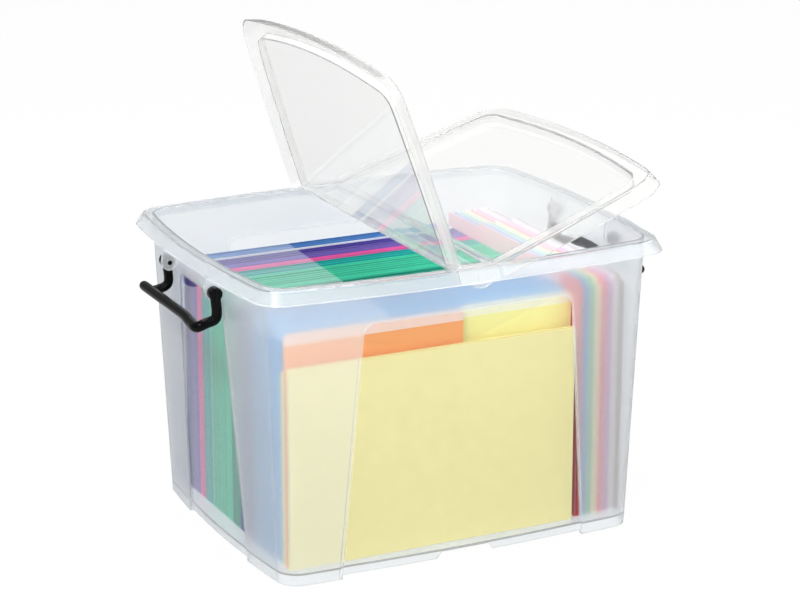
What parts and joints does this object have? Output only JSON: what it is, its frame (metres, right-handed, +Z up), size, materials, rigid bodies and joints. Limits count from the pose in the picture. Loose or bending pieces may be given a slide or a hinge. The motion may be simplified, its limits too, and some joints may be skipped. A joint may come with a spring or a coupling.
{
  "type": "portable file box",
  "caption": "Clear moulded box for papers in folders, with a folding two-leaf lid, swinging side handles and card folders inside.",
  "frame": {"origin": "on the ground under the middle of the tub", "axes": "+X along the box, +Y from front to back, +Z up"},
  "size_m": [0.5144, 0.397, 0.5241],
  "materials": {
    "clear_tub": "clear polypropylene, frosted at the corners",
    "clear_lid": "clear polypropylene, glossy",
    "black_handle": "black gloss",
    "folder_cream_card": "dyed pressboard, smooth",
    "folder_orange_card": "dyed pressboard, smooth",
    "folder_yellow_card": "dyed pressboard, smooth",
    "folders_sky_blue_card": "dyed pressboard, smooth",
    "folders_navy_card": "dyed pressboard, smooth",
    "folders_sea_green_card": "dyed pressboard, smooth",
    "folders_green_card": "dyed pressboard, smooth",
    "folders_teal_card": "dyed pressboard, smooth",
    "folders_lavender_card": "dyed pressboard, smooth",
    "folders_magenta_card": "dyed pressboard, smooth",
    "folders_violet_card": "dyed pressboard, smooth",
    "folder_white_card": "dyed pressboard, smooth",
    "folders_blue_card": "dyed pressboard, smooth",
    "folder_dark_red_card": "dyed pressboard, smooth",
    "folder_dark_blue_card": "dyed pressboard, smooth",
    "folder_leaf_green_card": "dyed pressboard, smooth",
    "folder_straw_card": "dyed pressboard, smooth",
    "folder_red_card": "dyed pressboard, smooth",
    "folder_mauve_card": "dyed pressboard, smooth",
    "folder_pearl_card": "dyed pressboard, smooth",
    "folder_brown_card": "dyed pressboard, smooth"
  },
  "bodies": {
    "root": {"tub": "clear_tub", "lid_bridge": "clear_lid", "folder_cream": "folder_cream_card", "folder_orange": "folder_orange_card", "folder_yellow": "folder_yellow_card", "folders_sky_blue": "folders_sky_blue_card", "folders_navy": "folders_navy_card", "folders_sea_green": "folders_sea_green_card", "folders_green": "folders_green_card", "folders_teal": "folders_teal_card", "folders_lavender": "folders_lavender_card", "folders_magenta": "folders_magenta_card", "folders_violet": "folders_violet_card", "folder_white": "folder_white_card", "folders_blue": "folders_blue_card", "folder_dark_red": "folder_dark_red_card", "folder_dark_blue": "folder_dark_blue_card", "folder_leaf_green": "folder_leaf_green_card", "folder_straw": "folder_straw_card", "folder_red": "folder_red_card", "folder_mauve": "folder_mauve_card", "folder_pearl": "folder_pearl_card", "folder_brown": "folder_brown_card"},
    "left_flap": {"left_flap": "clear_lid"},
    "right_flap": {"right_flap": "clear_lid"},
    "left_handle": {"left_handle": "black_handle"},
    "right_handle": {"right_handle": "black_handle"}
  },
  "joints": [
    {"name": "left_flap_hinge", "type": "hinge", "parent": "root", "child": "left_flap", "pos_m": [-0.019, 0, 0.3165], "axis": [0, 1, 0], "range_deg": [-71.6, 20.4]},
    {"name": "right_flap_hinge", "type": "hinge", "parent": "root", "child": "right_flap", "pos_m": [0.019, 0, 0.3165], "axis": [0, -1, 0], "range_deg": [-19.4, 72.6]},
    {"name": "left_handle_swing", "type": "hinge", "parent": "root", "child": "left_handle", "pos_m": [-0.232, 0, 0.288], "axis": [0, 1, 0], "range_deg": [0, 110]},
    {"name": "right_handle_swing", "type": "hinge", "parent": "root", "child": "right_handle", "pos_m": [0.232, 0, 0.288], "axis": [0, -1, 0], "range_deg": [0, 110]}
  ]
}
